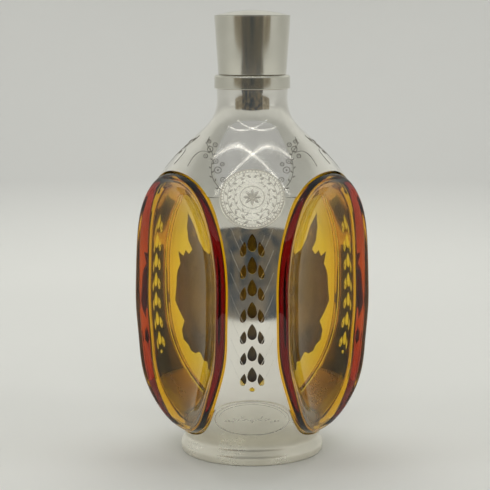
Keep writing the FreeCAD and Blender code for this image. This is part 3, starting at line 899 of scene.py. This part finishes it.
def soft_material(name, first, second, scale, roughness, depth):
    """Cork, felt and wood: two tones of grain and a matching bump."""
    material, tree, shader = new_material(name)
    coords = node(tree, "ShaderNodeTexCoord").outputs["Object"]
    grain = noise(tree, coords, scale, 8.0, 0.65)
    colour = mix_colour(tree, ramp(tree, grain, 0.35, 0.65, 0.0, 1.0), first, second)
    tree.links.new(colour, shader.inputs["Base Color"])
    tree.links.new(bump(tree, grain, 0.7, depth), shader.inputs["Normal"])
    shader.inputs["Roughness"].default_value = roughness
    return material


# ---- stage, light and camera ---------------------------------------------------------------------

def backdrop():
    """A pale paper dish: flat under the bottle and curved up all round, far outside any camera; painted shade
    darkens its curve and painted light brightens its wall high up.
    """
    flat, wide, tall, rise = 620.0, 1400.0, 2400.0, 620.0
    quarter = np.linspace(0, math.pi / 2, 96)
    bend = [(flat + (wide - flat) * math.sin(a), rise * (1 - math.cos(a))) for a in quarter]
    outline = [(0.01, 0.0), (300.0, 0.0)] + bend + [(wide, tall)]
    verts, faces = lathe(outline, 96)
    mesh = bpy.data.meshes.new("paper_dish")
    mesh.from_pydata((verts * MM).tolist(), [], faces)
    tidy_mesh(mesh, 80.0)
    material, tree, shader = new_material("backdrop_paper")
    coords = node(tree, "ShaderNodeTexCoord").outputs["Object"]
    cloud = noise(tree, coords, 1.3, 2.0)
    parts = node(tree, "ShaderNodeSeparateXYZ")
    tree.links.new(coords, parts.inputs[0])
    # Painted shade and light: the paper turns darker where it starts to curve up, as painted shade on the
    # rising wall, and lighter again high up, as painted light.
    climb = ramp(tree, parts.outputs["Z"], 0.0, 0.06, 0.0, 1.0)
    above = ramp(tree, parts.outputs["Z"], 0.34, 0.6, 0.0, 1.0)
    paper = mix_colour(tree, ramp(tree, cloud, 0.3, 0.7, 0.0, 1.0), (0.76, 0.76, 0.725), (0.72, 0.72, 0.69))
    middle = mix_colour(tree, climb, paper, (0.57, 0.57, 0.55))
    colour = mix_colour(tree, above, middle, (0.84, 0.84, 0.81))
    tree.links.new(colour, shader.inputs["Base Color"])
    shader.inputs["Roughness"].default_value = 0.85
    mesh.materials.append(material)
    dish = bpy.data.objects.new("paper_dish", mesh)
    bpy.context.scene.collection.objects.link(dish)


def card(name, corners, first, second):
    """A mottled card that only the reflections show, as part of the room before the bottle."""
    material, tree, shader = new_material(name)
    coords = node(tree, "ShaderNodeTexCoord").outputs["Object"]
    blotch = noise(tree, coords, 6.5, 3.0)
    colour = mix_colour(tree, ramp(tree, blotch, 0.40, 0.60, 0.0, 1.0), first, second)
    tree.links.new(colour, shader.inputs["Base Color"])
    shader.inputs["Roughness"].default_value = 0.9
    mesh = bpy.data.meshes.new(name)
    mesh.from_pydata(corners, [], [(0, 1, 2, 3)])
    mesh.materials.append(material)
    sheet = bpy.data.objects.new(name, mesh)
    bpy.context.scene.collection.objects.link(sheet)
    sheet.visible_camera = False
    sheet.visible_diffuse = False
    sheet.visible_transmission = False
    sheet.visible_shadow = False


def lamp(name, place, size, power, aim):
    """A soft rectangle of light that neither the camera nor the metal shows."""
    data = bpy.data.lights.new(name, "AREA")
    data.shape, data.size, data.size_y, data.energy = "RECTANGLE", size[0], size[1], power
    light = bpy.data.objects.new(name, data)
    light.visible_camera = False
    light.visible_glossy = False
    light.location = place
    away = Vector(place) - Vector(aim)
    light.rotation_euler = away.to_track_quat("Z", "Y").to_euler()
    bpy.context.scene.collection.objects.link(light)


def light_strips():
    """Two rows of small lamps that cross over the front of the bottle, seen as beaded lines."""
    material, tree, shader = new_material("strip_glow")
    shader.inputs["Base Color"].default_value = (0.0, 0.0, 0.0, 1.0)
    shader.inputs["Emission Color"].default_value = (1.0, 0.99, 0.95, 1.0)
    shader.inputs["Emission Strength"].default_value = 7.0
    heading, each_way, pitch, crossing = 24.0, 26, 19.0, (0.0, -110.0, 820.0)
    bead = np.array([(-6, -1.5, 0), (-6, 1.5, 0), (6, 1.5, 0), (6, -1.5, 0)], float)
    verts, faces = [], []
    for row in (-heading, heading):
        for k in range(-each_way, each_way + 1):
            faces.append(tuple(range(len(verts), len(verts) + 4)))
            verts.extend(turn(bead + (pitch * k, 0, 0), row) + crossing)
    mesh = bpy.data.meshes.new("light_strips")
    mesh.from_pydata((np.array(verts) * MM).tolist(), [], faces)
    mesh.materials.append(material)
    strips = bpy.data.objects.new("light_strips", mesh)
    bpy.context.scene.collection.objects.link(strips)
    strips.visible_camera = False
    strips.visible_transmission = False
    strips.visible_shadow = False


def room_cards():
    """The dark room that the metal's middle reflects, and the warmer walls beside it."""
    half, back, tall = 0.52, -0.8, 0.56
    dark = (0.060, 0.072, 0.085), (0.20, 0.17, 0.13)
    wall = [(-half, back, 0.0), (half, back, 0.0), (half, back, tall), (-half, back, tall)]
    card("room_wall", wall, *dark)
    floor = [(-half, back, 0.05), (half, back, 0.05), (0.42, -0.5, 0.004), (-0.42, -0.5, 0.004)]
    card("room_floor", floor, *dark)
    warm = (0.40, 0.36, 0.29), (0.27, 0.23, 0.17)
    for side, near in (("left", -half), ("right", half)):
        far = 1.75 * near
        wing = [(near, back, 0.0), (far, -0.6, 0.0), (far, -0.6, tall), (near, back, tall)]
        card("room_" + side, wing, *warm)


def stage():
    world = bpy.data.worlds.new("studio")
    bpy.context.scene.world = world
    world.use_nodes = True
    world.node_tree.nodes["Background"].inputs["Color"].default_value = (0.80, 0.81, 0.79, 1.0)
    world.node_tree.nodes["Background"].inputs["Strength"].default_value = 0.53
    bpy.context.scene.view_settings.view_transform = "Standard"
    backdrop()
    room_cards()
    lamp("lamp_top", (0.0, 0.45, 1.5), (1.1, 1.1), 6.3, (0, 0.35, 0))
    lamp("lamp_front", (0.0, -1.0, 0.70), (0.7, 0.3), 2.0, (0, 0, 0.05))
    light_strips()
    lamp("lamp_left", (-1.1, -0.45, 0.75), (0.35, 0.8), 1.9, (0, 0, 0.12))
    lamp("lamp_right", (1.1, -0.45, 0.75), (0.35, 0.8), 1.9, (0, 0, 0.12))
    lamp("lamp_rear", (0.0, 1.15, 0.75), (1.2, 0.5), 2.6, (0, 0, 0.1))


EYE_PLACE, EYE_DOWN, EYE_ASIDE = (0.0, -0.900, 0.248), 8.19, 0.26
EYE_LENS, EYE_SENSOR = 117.4, 36.0


def camera():
    data = bpy.data.cameras.new("camera")
    data.lens, data.sensor_width = EYE_LENS, EYE_SENSOR
    data.clip_start, data.clip_end = 0.05, 50.0
    eye = bpy.data.objects.new("camera", data)
    eye.location = EYE_PLACE
    eye.rotation_euler = (math.radians(90 - EYE_DOWN), 0.0, math.radians(EYE_ASIDE))
    bpy.context.scene.collection.objects.link(eye)
    bpy.context.scene.camera = eye


def finish_cad_node(name, material):
    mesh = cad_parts[name].data
    mesh.materials.clear()
    mesh.materials.append(material)


def build():
    camera()
    stage()
    plain = pewter("pewter_plain", (0.93, 0.91, 0.86), (0.82, 0.80, 0.74), 0.05, 0.13)
    pierced = pewter("pewter_pierced", (0.95, 0.92, 0.85), (0.86, 0.83, 0.76), 0.05, 0.12)
    turned = pewter("pewter_turned", (0.79, 0.77, 0.69), (0.68, 0.66, 0.58), 0.13, 0.22)
    # The medallions' etched ground is near white and mostly non-metallic: partly the real scatter of its
    # satin engraving, partly a painted highlight that keeps it bright.
    etched_with_painted_highlight = pewter("pewter_etched", (1.0, 0.98, 0.88), (0.97, 0.94, 0.83), 0.26, 0.40,
                    etching=0.00006, metal=0.15)
    relief = pewter("pewter_relief", (0.80, 0.77, 0.69), (0.64, 0.61, 0.54), 0.18, 0.30, metal=0.7)
    patina = pewter("pewter_patina", (0.42, 0.40, 0.36), (0.24, 0.22, 0.19), 0.14, 0.26)
    satin = pewter("pewter_satin", (0.93, 0.90, 0.80), (0.82, 0.79, 0.69), 0.24, 0.36, metal=0.8)
    # The rear crest's dull cast pewter is coloured very dark: painted shade for its back-lit face, which is
    # seen through the glass.
    cast_with_painted_shade = pewter("pewter_cast", (0.32, 0.31, 0.29), (0.20, 0.19, 0.18), 0.4, 0.55)
    cork = soft_material("cork_grain", (0.62, 0.44, 0.27), (0.38, 0.25, 0.14), 420.0, 0.85, 0.0003)
    felt = soft_material("felt_nap", (0.10, 0.17, 0.12), (0.06, 0.11, 0.08), 1500.0, 0.95, 0.0002)
    wood = soft_material("wood_core_grain", (0.55, 0.38, 0.22), (0.42, 0.27, 0.15), 120.0, 0.7, 0.0002)
    glass_bottle(amber_glass())
    shoulder_shell(plain)
    ridge_strips(pierced)
    base_cup(satin)
    neck_collar(turned)
    cap_wall(turned)
    cap_top(turned)
    ornaments(patina, relief, plain)
    for side in RIDGES:
        finish_cad_node("medallion_" + side, etched_with_painted_highlight)
        finish_cad_node("plaque_" + side, satin)
    finish_cad_node("crest_applique", cast_with_painted_shade)
    finish_cad_node("base_plate", satin)
    finish_cad_node("seat_pad", felt)
    finish_cad_node("neck_bush", cork)
    finish_cad_node("cork_stopper", cork)
    finish_cad_node("cap_filler", wood)


build()
